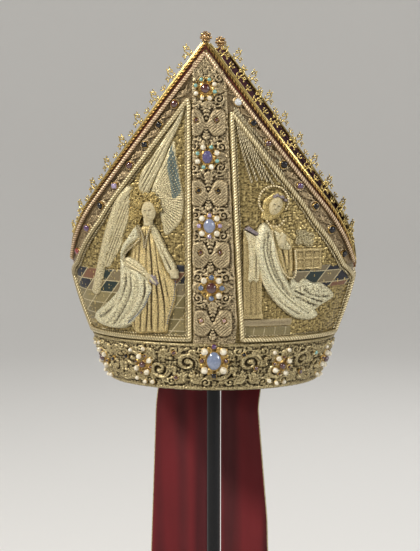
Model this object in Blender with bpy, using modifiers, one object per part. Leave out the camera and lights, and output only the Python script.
"""A jewelled bishop's mitre with two velvet lappets, carried by a plain rod stand.

Metres, +Z up, the front face towards -Y, the origin at the centre of the foot's underside.
Heights on the mitre are measured from the lower edge of its band."""

import math
from collections import namedtuple

import bmesh
import bpy
from mathutils import Matrix, Vector

# The stand
FOOT_RADIUS = 0.085
FOOT_THICKNESS = 0.012
FOOT_BEVEL = 0.002
ROD_RADIUS = 0.007
CROSSBAR_RADIUS = 0.005
CROSSBAR_LENGTH = 0.180

# The mitre's form: an oval at the band that flares up to the side corners, then two pointed horns
BAND_HALF_WIDTH = 0.104
BAND_HALF_DEPTH = 0.088
CORNER_HALF_WIDTH = 0.1455
CORNER_HEIGHT = 0.122
APEX_HEIGHT = 0.343
APEX_HALF_DEPTH = 0.068
EDGE_REACH = 1.149  # where the straight slant would reach at the corner's height, in corner half-widths
EDGE_ROUNDING_SHARE = 0.2  # how much of the corner half-width rounds the slant into the side
FLARE_EASE = 0.5  # share of the corner's height over which the flare eases off, above and below the corner
LEAN_IN_POWER = 1.5  # the horns lean in little by little above the band

# Cloth
PANEL_THICKNESS = 0.003
VELVET_THICKNESS = 0.0016
STRIP_THICKNESS = 0.002
CIRCLET_THICKNESS = 0.003
CIRCLET_HEIGHT = 0.047
CREASE_RISE = 0.076  # how far the velvet's fold climbs from the corners to the middle
VELVET_SAG = 1.35  # 1 is a plain V between the horns, more is a rounder valley
ROWS_BELOW_CORNER_SHARE = 0.3  # share of a panel's rows of facets that lie below the corner
LAYER_GAP = 0.0009  # between one layer of cloth or metal and the next
FIGURE_RELIEF = 0.009
RELIEF_GAP = 0.0026  # behind the raised figures, whose flat backs bridge the curve of the cloth
SEAM_GAP = 0.0016  # between the front and the back at the sides

# Central strip and the cords that frame the fields
STRIP_HALF_WIDTH_LOW = 0.0232
STRIP_HALF_WIDTH_HIGH = 0.0160
STRIP_SHIFT_LOW = 0.0136  # the front strip stands a little askew, and so does the line of its jewels
STRIP_SHIFT_HIGH = 0.0030
JEWEL_SHIFT_LOW = 0.0117
JEWEL_SHIFT_HIGH = -0.0010
STRIP_TOP_HALF_WIDTH = 0.003
BORDER_WIDTH = 0.0262
BORDER_WIDTH_AT_CORNER = 0.0135
FRAME_CORD_RADIUS = 0.0024
EDGE_CORD_RADIUS = 0.002
EDGE_CORD_INSET = 0.0065
EDGE_CORD_CLIMBS = (0.05, 0.12, 0.2, 0.3, 0.45, 0.6, 0.75, 0.85)  # shares of the way from corner to apex
SIDE_ANGLE = math.radians(83.0)  # where the frame cord runs down beside the seam
SIDE_TURN_SHARE = 0.22  # share of the way down over which it turns there

# Metal crest along the horns' edges
RAIL_RADIUS = 0.0018
CROCKET_COUNT = 9
CROCKET_HEIGHT = 0.0115
CROCKET_HALF_WIDTH = 0.0044
CROCKET_THICKNESS = 0.0014
CREST_START_SHARE = 0.07  # share of the way from the corner to the apex
CREST_END_SHARE = 0.975
FINIAL_RADIUS = 0.0042

# Jewels
ROSETTE_RADIUS = 0.0125
ROSETTE_THICKNESS = 0.002
ROSETTE_STONE_RADIUS = 0.0062
ROSETTE_PEARL_RADIUS = 0.003
GRAND_ROSETTE_RADIUS = 0.0155
GRAND_STONE_RADIUS = 0.0082
GRAND_PEARL_RADIUS = 0.0034
GRAND_ROSETTE_RISE = 0.0065  # above the middle of the band
BAND_ROSETTE_RADIUS = 0.0115
BAND_STONE_RADIUS = 0.0042
BAND_PEARL_RADIUS = 0.0029
STONE_HEIGHT = 0.0045
STRIP_ROSETTE_HEIGHTS = (0.297, 0.475, 0.671, 0.866)  # shares of the apex's height
BAND_ROSETTE_ANGLES = (-66.0, -31.0, 40.0, 78.0)

# Lappets
LAPPET_LENGTH = 0.330
LAPPET_WIDTH_TOP = 0.054
LAPPET_WIDTH_END = 0.066
LAPPET_INNER = 0.008  # from the middle of the pair to each one's inner edge
LAPPET_PAIR_SHIFT = -0.009
LAPPET_SETTLE_SHARE = 0.16  # share of the length over which the curve of the band straightens out
LAPPET_TURNS = {"left": math.radians(8.0), "right": math.radians(38.0)}  # outer edge turned forward
LAPPET_BOW = 0.003
LAPPET_ABOVE_FOOT = 0.030
BAND_ABOVE_FLOOR = FOOT_THICKNESS + LAPPET_ABOVE_FOOT + LAPPET_LENGTH

TINY = 0.0001
FRONT = 0
BACK = 1

Section = namedtuple("Section", "height near far relief")

# Raised figures on the front fields, a row for each section from the bottom up. The height is a share of the
# apex's height. near and far are shares of the way round the field, from the strip's cord to the border's.
# The relief is a share of FIGURE_RELIEF.
ANGEL = [
    Section(0.160, 0.15, 0.72, 0.2),
    Section(0.181, 0.11, 0.79, 0.7),
    Section(0.248, 0.08, 0.64, 0.8),
    Section(0.321, 0.06, 0.44, 0.9),
    Section(0.394, 0.13, 0.51, 0.9),
    Section(0.461, 0.26, 0.56, 0.8),
    Section(0.490, 0.37, 0.52, 0.8),
    Section(0.525, 0.36, 0.64, 1.0),
    Section(0.563, 0.44, 0.72, 0.9),
    Section(0.580, 0.57, 0.67, 0.2),
]
ANGEL_FAR_WING = [
    Section(0.437, 0.11, 0.15, 0.2),
    Section(0.496, 0.09, 0.26, 0.35),
    Section(0.583, 0.04, 0.40, 0.35),
    Section(0.627, 0.03, 0.74, 0.35),
    Section(0.714, 0.03, 0.92, 0.35),
    Section(0.764, 0.05, 0.92, 0.35),
    Section(0.799, 0.18, 0.90, 0.2),
]
ANGEL_NEAR_WING = [
    Section(0.257, 0.75, 0.82, 0.2),
    Section(0.335, 0.62, 0.74, 0.45),
    Section(0.408, 0.61, 0.83, 0.45),
    Section(0.481, 0.69, 0.94, 0.45),
    Section(0.542, 0.81, 0.97, 0.45),
    Section(0.583, 0.92, 0.98, 0.2),
]
VIRGIN = [
    Section(0.175, 0.34, 0.60, 0.2),
    Section(0.204, 0.24, 0.77, 0.8),
    Section(0.262, 0.15, 0.71, 0.8),
    Section(0.321, 0.11, 0.42, 0.9),
    Section(0.394, 0.12, 0.37, 0.9),
    Section(0.466, 0.18, 0.49, 0.9),
    Section(0.490, 0.29, 0.45, 0.8),
    Section(0.519, 0.30, 0.57, 1.0),
    Section(0.566, 0.42, 0.80, 0.9),
    Section(0.592, 0.64, 0.80, 0.2),
]
LECTERN = [
    Section(0.187, 0.025, 0.10, 0.2),
    Section(0.198, 0.015, 0.10, 0.6),
    Section(0.321, 0.015, 0.07, 0.6),
    Section(0.437, 0.020, 0.08, 0.6),
    Section(0.472, 0.040, 0.08, 0.2),
]
CHEST = [
    Section(0.350, 0.45, 0.60, 0.2),
    Section(0.362, 0.46, 0.65, 0.45),
    Section(0.431, 0.54, 0.82, 0.45),
    Section(0.475, 0.66, 0.90, 0.55),
    Section(0.493, 0.77, 0.89, 0.2),
]


def soft_minimum(a, b, width):
    overlap = max(width - abs(a - b), 0.0) / width
    return min(a, b) - overlap * overlap * width / 4.0


def flare(share):
    """Grows in step with the height, then eases off around the corner."""
    start, end = 1.0 - FLARE_EASE, 1.0 + FLARE_EASE
    eased = min(max(share, start), end) - start
    return min(share, end) - eased * eased / (4.0 * FLARE_EASE)


def half_width(height):
    grown = flare(height / CORNER_HEIGHT) / flare(1.0)
    return BAND_HALF_WIDTH + (CORNER_HALF_WIDTH - BAND_HALF_WIDTH) * grown


def half_depth(height):
    share = max(height / APEX_HEIGHT, 0.0) ** LEAN_IN_POWER
    return BAND_HALF_DEPTH + (APEX_HALF_DEPTH - BAND_HALF_DEPTH) * share


def edge_half_width(height):
    """Half the horn's width as seen from the front: the slant, rounded into the side at the corner."""
    climb = (height - CORNER_HEIGHT) / (APEX_HEIGHT - CORNER_HEIGHT)
    slant = EDGE_REACH * max(1.0 - climb, 0.0)
    return CORNER_HALF_WIDTH * max(soft_minimum(1.0, slant, EDGE_ROUNDING_SHARE), 0.0)


def angle_at(offset, height):
    """The angle round the oval at which a point shows at that sideways offset from the front."""
    return math.asin(max(-1.0, min(1.0, offset / half_width(height))))


def apex_half_angle():
    """The angle between the horn's slanting edge and the upright."""
    return math.atan(EDGE_REACH * CORNER_HALF_WIDTH / (APEX_HEIGHT - CORNER_HEIGHT))


def edge_angle(height):
    return angle_at(edge_half_width(height), height)


def edge_height(climb):
    return CORNER_HEIGHT + climb * (APEX_HEIGHT - CORNER_HEIGHT)


def on_oval(angle, height, lift=0.0, face=FRONT):
    """A point of the mitre's outer face, or that far outside it. The angle is 0 at the face's middle."""
    turn = -1.0 if face == BACK else 1.0
    x = (half_width(height) + lift) * math.sin(angle)
    y = -(half_depth(height) + lift) * math.cos(angle)
    return Vector((turn * x, turn * y, BAND_ABOVE_FLOOR + height))


def on_face(offset, height, lift=0.0, face=FRONT):
    return on_oval(angle_at(offset, height), height, lift, face)


def frame_at(angle, height, lift=0.0, face=FRONT):
    """X to the side, Y up the cloth and Z out of it, at a point of the mitre."""
    step = TINY
    across = on_oval(angle + step, height, lift, face) - on_oval(angle - step, height, lift, face)
    up = on_oval(angle, height + step, lift, face) - on_oval(angle, height - step, lift, face)
    out = across.cross(up).normalized()
    across.normalize()
    up = out.cross(across)
    matrix = Matrix((across, up, out)).transposed().to_4x4()
    matrix.translation = on_oval(angle, height, lift, face)
    return matrix


def edge_frame(climb, side, face, inset, lift=0.0):
    """A frame beside the horn's edge: Y points out of the edge in the cloth's own face, Z out of the cloth.

    inset is how far inside the edge it lies, and is negative outside it."""
    step = TINY / APEX_HEIGHT
    height = edge_height(climb)
    above, below = edge_height(climb + step), edge_height(climb - step)
    along = on_oval(side * edge_angle(above), above, 0.0, face)
    along -= on_oval(side * edge_angle(below), below, 0.0, face)
    along.normalize()
    here = frame_at(side * edge_angle(height), height, 0.0, face)
    out = here.col[2].to_3d()
    beyond = side * along.cross(out)
    matrix = Matrix((-side * along, beyond, out)).transposed().to_4x4()
    matrix.translation = here.translation - inset * beyond + lift * out
    return matrix


def between(low, high, height):
    """A size that changes evenly from the mitre's lower edge to its apex."""
    return low + (high - low) * height / APEX_HEIGHT


def strip_axis(height, face):
    """Sideways offset of the central strip's middle."""
    return between(STRIP_SHIFT_LOW, STRIP_SHIFT_HIGH, height) if face == FRONT else 0.0


def jewel_axis(height, face):
    return between(JEWEL_SHIFT_LOW, JEWEL_SHIFT_HIGH, height) if face == FRONT else 0.0


def strip_half_width(height):
    return between(STRIP_HALF_WIDTH_LOW, STRIP_HALF_WIDTH_HIGH, height)


def border_inner(height):
    """Half the width between the cords that run down inside the two jewelled borders."""
    climb = max((height - CORNER_HEIGHT) / (APEX_HEIGHT - CORNER_HEIGHT), 0.0)
    eased = min(climb / EDGE_ROUNDING_SHARE, 1.0)
    width = BORDER_WIDTH_AT_CORNER + (BORDER_WIDTH - BORDER_WIDTH_AT_CORNER) * eased
    return edge_half_width(height) - width


def frame_cord_low():
    """Height of the middle of the frame cord's lowest run, just above the circlet."""
    return CIRCLET_HEIGHT + LAYER_GAP + FRAME_CORD_RADIUS


def frame_cord_near(side, height, face):
    """Sideways offset of the frame cord's run beside the strip."""
    return side * strip_axis(height, face) + strip_half_width(height) + LAYER_GAP + FRAME_CORD_RADIUS


def frame_cord_far(height):
    """Angle of the frame cord's outer run: inside the border, and below the corner beside the seam."""
    if height >= CORNER_HEIGHT:
        return angle_at(border_inner(height), height)
    corner = angle_at(border_inner(CORNER_HEIGHT), CORNER_HEIGHT)
    drop = (CORNER_HEIGHT - height) / (CORNER_HEIGHT - frame_cord_low())
    return corner + (SIDE_ANGLE - corner) * min(drop / SIDE_TURN_SHARE, 1.0)


def material(name, colour, roughness, metallic=0.0):
    made = bpy.data.materials.new(name)
    made.use_nodes = True
    shader = made.node_tree.nodes["Principled BSDF"]
    shader.inputs["Base Color"].default_value = (*colour, 1.0)
    shader.inputs["Roughness"].default_value = roughness
    shader.inputs["Metallic"].default_value = metallic
    return made


def add_object(name, data, finish, collection="mitre"):
    obj = bpy.data.objects.new(name, data)
    bpy.data.collections[collection].objects.link(obj)
    if finish is not None:
        data.materials.clear()
        data.materials.append(MATERIALS[finish])
    return obj


def mesh_from(name, shape):
    """A mesh from a closed bmesh, with its faces pointing out."""
    if shape.calc_volume(signed=True) < 0.0:
        bmesh.ops.reverse_faces(shape, faces=shape.faces)
    mesh = bpy.data.meshes.new(name)
    shape.to_mesh(mesh)
    shape.free()
    return mesh


def sheet(name, finish, columns, rows, place, thickness):
    """A cloth shell. place(u, v) gives its outer face for u and v from -1 to 1, u to the right and v up."""
    grid = bmesh.new()
    bmesh.ops.create_grid(grid, x_segments=columns, y_segments=rows, size=1.0)
    for vertex in grid.verts:
        vertex.co = place(vertex.co.x, vertex.co.y)
    bmesh.ops.remove_doubles(grid, verts=grid.verts, dist=TINY)
    mesh = bpy.data.meshes.new(name)
    grid.to_mesh(mesh)
    grid.free()
    obj = add_object(name, mesh, finish)
    shell = obj.modifiers.new("thickness", "SOLIDIFY")
    shell.thickness = thickness
    shell.offset = -1.0
    return obj


def tube(name, finish, points, radius, closed=False, sides_setting=1):
    curve = bpy.data.curves.new(name, "CURVE")
    curve.dimensions = "3D"
    curve.bevel_depth = radius
    curve.bevel_resolution = sides_setting
    curve.use_fill_caps = not closed
    spline = curve.splines.new("POLY")
    spline.points.add(len(points) - 1)
    for point, place in zip(spline.points, points):
        point.co = (*place, 1.0)
    spline.use_cyclic_u = closed
    return add_object(name, curve, finish)


def as_mesh(obj, name):
    """The object's evaluated shape as a welded mesh. The object itself is removed."""
    graph = bpy.context.evaluated_depsgraph_get()
    mesh = bpy.data.meshes.new_from_object(obj.evaluated_get(graph))
    shape = bmesh.new()
    shape.from_mesh(mesh)
    bmesh.ops.remove_doubles(shape, verts=shape.verts, dist=TINY / 10)
    shape.to_mesh(mesh)
    shape.free()
    mesh.name = name
    bpy.data.objects.remove(obj)
    return mesh


def flat_plate(name, outline, thickness):
    """A mesh of a flat outline in the XY plane, with its middle plane at Z = 0."""
    curve = bpy.data.curves.new(name, "CURVE")
    curve.dimensions = "2D"
    curve.fill_mode = "BOTH"
    curve.extrude = thickness / 2.0
    spline = curve.splines.new("POLY")
    spline.points.add(len(outline) - 1)
    for point, (x, y) in zip(spline.points, outline):
        point.co = (x, y, 0.0, 1.0)
    spline.use_cyclic_u = True
    return as_mesh(add_object(name, curve, None, "helpers"), name)


def fused(name, body, others):
    """The body's mesh united with the meshes of the others, each given as (mesh, matrix)."""
    base = add_object(name, body, None, "helpers")
    group = bpy.data.collections.new(name + "_pieces")
    bpy.data.collections["helpers"].children.link(group)
    for mesh, matrix in others:
        piece = bpy.data.objects.new(mesh.name, mesh)
        piece.matrix_world = matrix
        piece.hide_render = True
        piece.display_type = "WIRE"
        group.objects.link(piece)
    union = base.modifiers.new("union", "BOOLEAN")
    union.operation = "UNION"
    union.operand_type = "COLLECTION"
    union.collection = group
    bpy.context.view_layer.update()
    mesh = as_mesh(base, name)
    for piece in list(group.objects):
        bpy.data.objects.remove(piece)
    bpy.data.collections.remove(group)
    return mesh


def cylinder_mesh(name, radius, depth, sides, top_radius=None):
    """A cylinder or frustum standing on Z = 0."""
    shape = bmesh.new()
    bmesh.ops.create_cone(
        shape,
        cap_ends=True,
        segments=sides,
        radius1=radius,
        radius2=radius if top_radius is None else top_radius,
        depth=depth,
        matrix=Matrix.Translation((0.0, 0.0, depth / 2.0)),
    )
    return mesh_from(name, shape)


def pearl_mesh(name, radius):
    shape = bmesh.new()
    bmesh.ops.create_uvsphere(shape, u_segments=10, v_segments=4, radius=radius)
    return mesh_from(name, shape)


def half_pearl_mesh(name, radius):
    """A dome whose flat side, at its widest, is at Z = 0."""
    shape = bmesh.new()
    bmesh.ops.create_uvsphere(shape, u_segments=10, v_segments=4, radius=radius)
    bmesh.ops.delete(shape, geom=[vertex for vertex in shape.verts if vertex.co.z < -TINY], context="VERTS")
    bmesh.ops.holes_fill(shape, edges=shape.edges)
    return mesh_from(name, shape)


def build_stand():
    disc = cylinder_mesh("stand_foot", FOOT_RADIUS, FOOT_THICKNESS, 24)
    foot = add_object("stand_foot", disc, "black_steel")
    rounding = foot.modifiers.new("rounding", "BEVEL")
    rounding.width = FOOT_BEVEL
    rounding.segments = 1
    rounding.limit_method = "ANGLE"
    rod_start = FOOT_THICKNESS + LAYER_GAP
    bar_end = CROSSBAR_LENGTH / 2.0
    bar_height = crease_height(bar_end) - VELVET_THICKNESS - LAYER_GAP - 2.0 * CROSSBAR_RADIUS
    top = BAND_ABOVE_FLOOR + bar_height
    rod = cylinder_mesh("stand_post", ROD_RADIUS, top - rod_start, 16)
    rod.transform(Matrix.Translation((0.0, 0.0, rod_start)))
    bar = cylinder_mesh("crossbar", CROSSBAR_RADIUS, CROSSBAR_LENGTH, 12)
    lying = Matrix.Translation((-bar_end, 0.0, top)) @ Matrix.Rotation(math.pi / 2.0, 4, "Y")
    add_object("stand_post", fused("stand_post", rod, [(bar, lying)]), "black_steel")


def panel_row_height(share):
    """Height of a row: even up to the corner, then crowded just above it, where the edge turns."""
    if share < ROWS_BELOW_CORNER_SHARE:
        return CORNER_HEIGHT * share / ROWS_BELOW_CORNER_SHARE
    return edge_height(((share - ROWS_BELOW_CORNER_SHARE) / (1.0 - ROWS_BELOW_CORNER_SHARE)) ** 1.4)


def build_panel(name, face):
    """One horn with the half of the body below it."""

    def place(u, v):
        height = panel_row_height(round((v + 1.0) / 2.0, 4))
        widest = edge_angle(height) if height > 0.0 else math.pi / 2.0
        seam = (SEAM_GAP / 2.0) / half_depth(height)
        return on_oval(u * min(widest, math.pi / 2.0 - seam), height, 0.0, face)

    sheet(name, "gold_cloth", 20, 10, place, PANEL_THICKNESS)


def crease_height(offset):
    """Height of the velvet's fold, from the corners up to the middle."""
    return CORNER_HEIGHT + CREASE_RISE * (1.0 - abs(offset) / CORNER_HALF_WIDTH)


def build_gusset():
    """The velvet between the horns: fixed under their slanting edges, with a fold along the middle."""
    sunk = -(PANEL_THICKNESS + VELVET_THICKNESS + 3.0 * LAYER_GAP)

    def place(u, v):
        climb = 1.0 - abs(u) * 0.97
        height = edge_height(climb) - 2.0 * LAYER_GAP
        side = math.copysign(1.0, u)
        edge = on_oval(side * edge_angle(height), height, sunk)
        fold = BAND_ABOVE_FLOOR + crease_height(edge.x)
        rise = abs(v) ** VELVET_SAG
        return Vector((edge.x, -edge.y * v, fold + (edge.z - fold) * rise))

    sheet("gusset_velvet", "crimson_velvet", 20, 6, place, VELVET_THICKNESS)


def build_circlet():
    lift = LAYER_GAP + CIRCLET_THICKNESS

    def place(u, v):
        return on_oval(u * math.pi, CIRCLET_HEIGHT * (v + 1.0) / 2.0, lift)

    sheet("circlet_band", "gold_embroidery", 48, 1, place, CIRCLET_THICKNESS)


def build_strip(name, face):
    """The central strip, from the circlet up into the point of the horn, where the borders close in."""
    low = CIRCLET_HEIGHT + LAYER_GAP
    beside = (EDGE_CORD_INSET + EDGE_CORD_RADIUS + LAYER_GAP) / math.cos(apex_half_angle())
    high = APEX_HEIGHT - (beside + STRIP_TOP_HALF_WIDTH) / math.tan(apex_half_angle())

    def place(u, v):
        height = low + (high - low) * (v + 1.0) / 2.0
        room = edge_half_width(height) - beside
        middle = strip_axis(height, face)
        left = max(middle - strip_half_width(height), -room)
        right = min(middle + strip_half_width(height), room)
        offset = left + (right - left) * (u + 1.0) / 2.0
        return on_face(offset, height, LAYER_GAP + STRIP_THICKNESS, face)

    sheet(name, "gold_embroidery", 4, 12, place, STRIP_THICKNESS)


def frame_path(side, face):
    """The loop round one field: up beside the strip, down inside the border, down by the seam and back."""
    lift = 1.5 * LAYER_GAP + FRAME_CORD_RADIUS
    low = frame_cord_low()
    top = APEX_HEIGHT
    while border_inner(top) < frame_cord_near(side, top, face):
        top -= FRAME_CORD_RADIUS / 2.0
    path = []
    for step in range(6):
        height = low + (top - low) * step / 5.0
        path.append(on_face(side * frame_cord_near(side, height, face), height, lift, face))
    for step in range(1, 11):
        height = CORNER_HEIGHT + (top - CORNER_HEIGHT) * (1.0 - step / 10.0) ** 2
        path.append(on_oval(side * frame_cord_far(height), height, lift, face))
    for drop in (0.5 * SIDE_TURN_SHARE, SIDE_TURN_SHARE, 0.5, 0.75, 1.0):
        height = CORNER_HEIGHT + (low - CORNER_HEIGHT) * drop
        path.append(on_oval(side * frame_cord_far(height), height, lift, face))
    inner = angle_at(frame_cord_near(side, low, face), low)
    for step in range(1, 8):
        path.append(on_oval(side * (SIDE_ANGLE + (inner - SIDE_ANGLE) * step / 8.0), low, lift, face))
    return path


def build_cords(face_name, face):
    for side, side_name in ((-1, "left"), (1, "right")):
        name = f"frame_cord_{face_name}_{side_name}"
        tube(name, "pale_gold_cord", frame_path(side, face), FRAME_CORD_RADIUS, closed=True)
    lift = 1.5 * LAYER_GAP + EDGE_CORD_RADIUS
    left = [edge_frame(climb, -1, face, EDGE_CORD_INSET, lift).translation for climb in EDGE_CORD_CLIMBS]
    right = [edge_frame(climb, 1, face, EDGE_CORD_INSET, lift).translation for climb in EDGE_CORD_CLIMBS]
    tip = on_face(0.0, APEX_HEIGHT - EDGE_CORD_INSET / math.sin(apex_half_angle()), lift, face)
    tube(f"edge_cord_{face_name}", "rose_gold_cord", left + [tip] + right[::-1], EDGE_CORD_RADIUS)


def crocket_outline():
    """A small leafy hook: a stem, two side curls and a pointed head. The table holds shares of its sizes."""
    half = [(0.2, 0.0), (0.95, 0.34), (0.26, 0.50), (1.0, 0.78)]
    points = [(x * CROCKET_HALF_WIDTH, y * CROCKET_HEIGHT) for x, y in half]
    mirrored = [(-x, y) for x, y in reversed(points)]
    return points + [(0.0, CROCKET_HEIGHT)] + mirrored


def build_crest(name, side, face, crocket):
    """The metal rail outside one slanting edge, with its crockets, in one solid."""
    lift = -PANEL_THICKNESS / 2.0
    outside = -(RAIL_RADIUS + LAYER_GAP)
    span = CREST_END_SHARE - CREST_START_SHARE

    def frame(share):
        return edge_frame(CREST_START_SHARE + span * share, side, face, outside, lift)

    rail = tube(name, None, [frame(step / 10.0).translation for step in range(11)], RAIL_RADIUS)
    crockets = [(crocket, frame((step + 0.5) / CROCKET_COUNT)) for step in range(CROCKET_COUNT)]
    add_object(name, fused(name, as_mesh(rail, name), crockets), "gilt_metal")


def build_finial(name, face):
    """A knob of beads on the horn's point."""
    size = FINIAL_RADIUS
    knob = pearl_mesh(name, size)
    bead = pearl_mesh("bead", size * 0.5)
    beads = [
        (bead, Matrix.Translation((size * math.sin(turn), 0.0, size * math.cos(turn))))
        for turn in (math.radians(90.0 * step) for step in (-1, 0, 1))
    ]
    finial = add_object(name, fused(name, knob, beads), "gilt_metal")
    top = on_face(0.0, APEX_HEIGHT, -PANEL_THICKNESS / 2.0, face)
    finial.location = top + Vector((0.0, 0.0, size + LAYER_GAP))


def rosette_mesh(name, radius, stone_radius, pearl_radius, pearl_count, sides):
    """A gilt plate with a cut stone, its table up, and a ring of half-sunk pearls."""
    plate = cylinder_mesh(name, radius, ROSETTE_THICKNESS, sides)
    stone = cylinder_mesh("stone", stone_radius, STONE_HEIGHT, 8, stone_radius * 0.6)
    pearl = half_pearl_mesh("pearl", pearl_radius)
    ring = radius - pearl_radius * 1.05
    pieces = [(stone, Matrix.Translation((0.0, 0.0, ROSETTE_THICKNESS / 2.0)))]
    for step in range(pearl_count):
        turn = math.tau * (step + 0.5) / pearl_count
        place = Matrix.Translation((ring * math.cos(turn), ring * math.sin(turn), ROSETTE_THICKNESS * 0.6))
        pieces.append((pearl, place))
    return fused(name, plate, pieces)


def fall_away(reach, angle, height):
    """How far the curved cloth falls away behind a flat plate of that reach."""
    width, depth = half_width(height), half_depth(height)
    stretch = math.hypot(width * math.cos(angle), depth * math.sin(angle))
    return reach**2 * width * depth / (2.0 * stretch**3)


def add_jewel(name, mesh, reach, angle, height, cloth, face):
    """Sets a jewel over the curved cloth, cloth being how far that stands off the face."""
    jewel = add_object(name, mesh, "gilt_metal")
    lift = cloth + LAYER_GAP + fall_away(reach, angle, height)
    jewel.matrix_world = frame_at(angle, height, lift, face)


def build_jewels():
    rosette = rosette_mesh("rosette", ROSETTE_RADIUS, ROSETTE_STONE_RADIUS, ROSETTE_PEARL_RADIUS, 4, 16)
    grand = rosette_mesh("grand_rosette", GRAND_ROSETTE_RADIUS, GRAND_STONE_RADIUS, GRAND_PEARL_RADIUS, 4, 16)
    small = rosette_mesh("band_rosette", BAND_ROSETTE_RADIUS, BAND_STONE_RADIUS, BAND_PEARL_RADIUS, 4, 12)
    strip = LAYER_GAP + STRIP_THICKNESS
    band = LAYER_GAP + CIRCLET_THICKNESS
    for number, share in enumerate(STRIP_ROSETTE_HEIGHTS, start=1):
        height = share * APEX_HEIGHT
        angle = angle_at(jewel_axis(height, FRONT), height)
        add_jewel(f"rosette_front_{number}", rosette, ROSETTE_RADIUS, angle, height, strip, FRONT)
    middle = CIRCLET_HEIGHT / 2.0
    for face, face_name in ((FRONT, "front"), (BACK, "back")):
        height = middle + GRAND_ROSETTE_RISE
        angle = angle_at(jewel_axis(height, face), height)
        add_jewel(f"grand_rosette_{face_name}", grand, GRAND_ROSETTE_RADIUS, angle, height, band, face)
    for number, degrees in enumerate(BAND_ROSETTE_ANGLES, start=1):
        angle = math.radians(degrees)
        add_jewel(f"band_rosette_{number}", small, BAND_ROSETTE_RADIUS, angle, middle, band, FRONT)


def field_angle(share, side, height):
    """An angle on the front, as a share of the way from the strip's cord to the outer cord of that field."""
    clear = FRAME_CORD_RADIUS + LAYER_GAP
    near = angle_at(frame_cord_near(side, height, FRONT) + clear, height)
    far = angle_at(half_width(height) * math.sin(frame_cord_far(height)) - clear, height)
    return side * (near + (far - near) * share)


def build_relief(name, finish, side, sections):
    """A raised figure on the front: crowned sections one above another, flat towards the cloth behind."""
    last = len(sections) - 1

    def place(u, v):
        section = sections[round((v + 1.0) / 2.0 * last)]
        height = section.height * APEX_HEIGHT
        near = field_angle(section.near, side, height)
        far = field_angle(section.far, side, height)
        crown = math.sin(math.pi * abs(u)) ** 0.6 if u < 0.0 else 0.0
        lift = RELIEF_GAP + FIGURE_RELIEF * section.relief * crown
        return on_oval(near + (far - near) * abs(u), height, lift)

    shape = bmesh.new()
    bmesh.ops.create_grid(shape, x_segments=10, y_segments=last, size=1.0)
    for vertex in shape.verts:
        vertex.co = place(round(vertex.co.x, 6), vertex.co.y)
    bmesh.ops.remove_doubles(shape, verts=shape.verts, dist=TINY / 10.0)
    bmesh.ops.holes_fill(shape, edges=shape.edges)
    add_object(name, mesh_from(name, shape), finish)


def build_lappet(side, side_name):
    """A velvet band hanging from the back of the mitre's lower edge."""
    inner = LAPPET_PAIR_SHIFT + side * LAPPET_INNER
    turn = LAPPET_TURNS[side_name]
    sunk = -PANEL_THICKNESS / 2.0
    back = half_depth(0.0) + sunk

    def place(u, v):
        down = ((1.0 - v) / 2.0) ** 1.6
        across = (LAPPET_WIDTH_TOP + (LAPPET_WIDTH_END - LAPPET_WIDTH_TOP) * down) * (side * u + 1.0) / 2.0
        angle = side * across / half_width(0.0) + angle_at(inner, 0.0)
        sewn = Vector((half_width(0.0) * math.sin(angle), back * math.cos(angle)))
        bow = LAPPET_BOW * down * math.cos(u * math.pi / 2.0)
        hung = Vector((inner + side * across * math.cos(turn), back - across * math.sin(turn) + bow))
        settled = min(down / LAPPET_SETTLE_SHARE, 1.0)
        settled *= settled * (3.0 - 2.0 * settled)
        flat = sewn.lerp(hung, settled)
        return Vector((flat.x, flat.y, BAND_ABOVE_FLOOR - LAYER_GAP - LAPPET_LENGTH * down))

    sheet(f"lappet_{side_name}", "crimson_velvet", 4, 12, place, VELVET_THICKNESS)


def clear_scene():
    for obj in list(bpy.data.objects):
        bpy.data.objects.remove(obj)
    for name in ("mitre", "helpers"):
        group = bpy.data.collections.new(name)
        bpy.context.scene.collection.children.link(group)


clear_scene()
MATERIALS = {
    "gold_cloth": material("gold_cloth", (0.46, 0.38, 0.19), 0.55, 0.4),
    "gold_embroidery": material("gold_embroidery", (0.42, 0.36, 0.23), 0.6, 0.3),
    "pale_gold_cord": material("pale_gold_cord", (0.66, 0.60, 0.42), 0.5, 0.3),
    "rose_gold_cord": material("rose_gold_cord", (0.55, 0.42, 0.30), 0.5, 0.3),
    "silver_gold_relief": material("silver_gold_relief", (0.72, 0.68, 0.50), 0.5, 0.3),
    "gilt_metal": material("gilt_metal", (0.83, 0.62, 0.22), 0.3, 1.0),
    "crimson_velvet": material("crimson_velvet", (0.20, 0.01, 0.02), 0.85),
    "black_steel": material("black_steel", (0.02, 0.02, 0.02), 0.35, 0.6),
}
build_stand()
crocket_mesh = flat_plate("crocket", crocket_outline(), CROCKET_THICKNESS)
for which, which_name in ((FRONT, "front"), (BACK, "back")):
    build_panel(f"{which_name}_panel", which)
    build_strip(f"central_strip_{which_name}", which)
    build_cords(which_name, which)
    build_crest(f"crest_{which_name}_left", -1, which, crocket_mesh)
    build_crest(f"crest_{which_name}_right", 1, which, crocket_mesh)
    build_finial(f"finial_{which_name}", which)
build_gusset()
build_circlet()
build_jewels()
build_relief("angel_figure", "silver_gold_relief", -1, ANGEL)
build_relief("angel_far_wing", "silver_gold_relief", -1, ANGEL_FAR_WING)
build_relief("angel_near_wing", "silver_gold_relief", -1, ANGEL_NEAR_WING)
build_relief("virgin_figure", "silver_gold_relief", 1, VIRGIN)
build_relief("lectern", "silver_gold_relief", 1, LECTERN)
build_relief("chest", "silver_gold_relief", 1, CHEST)
build_lappet(-1, "left")
build_lappet(1, "right")
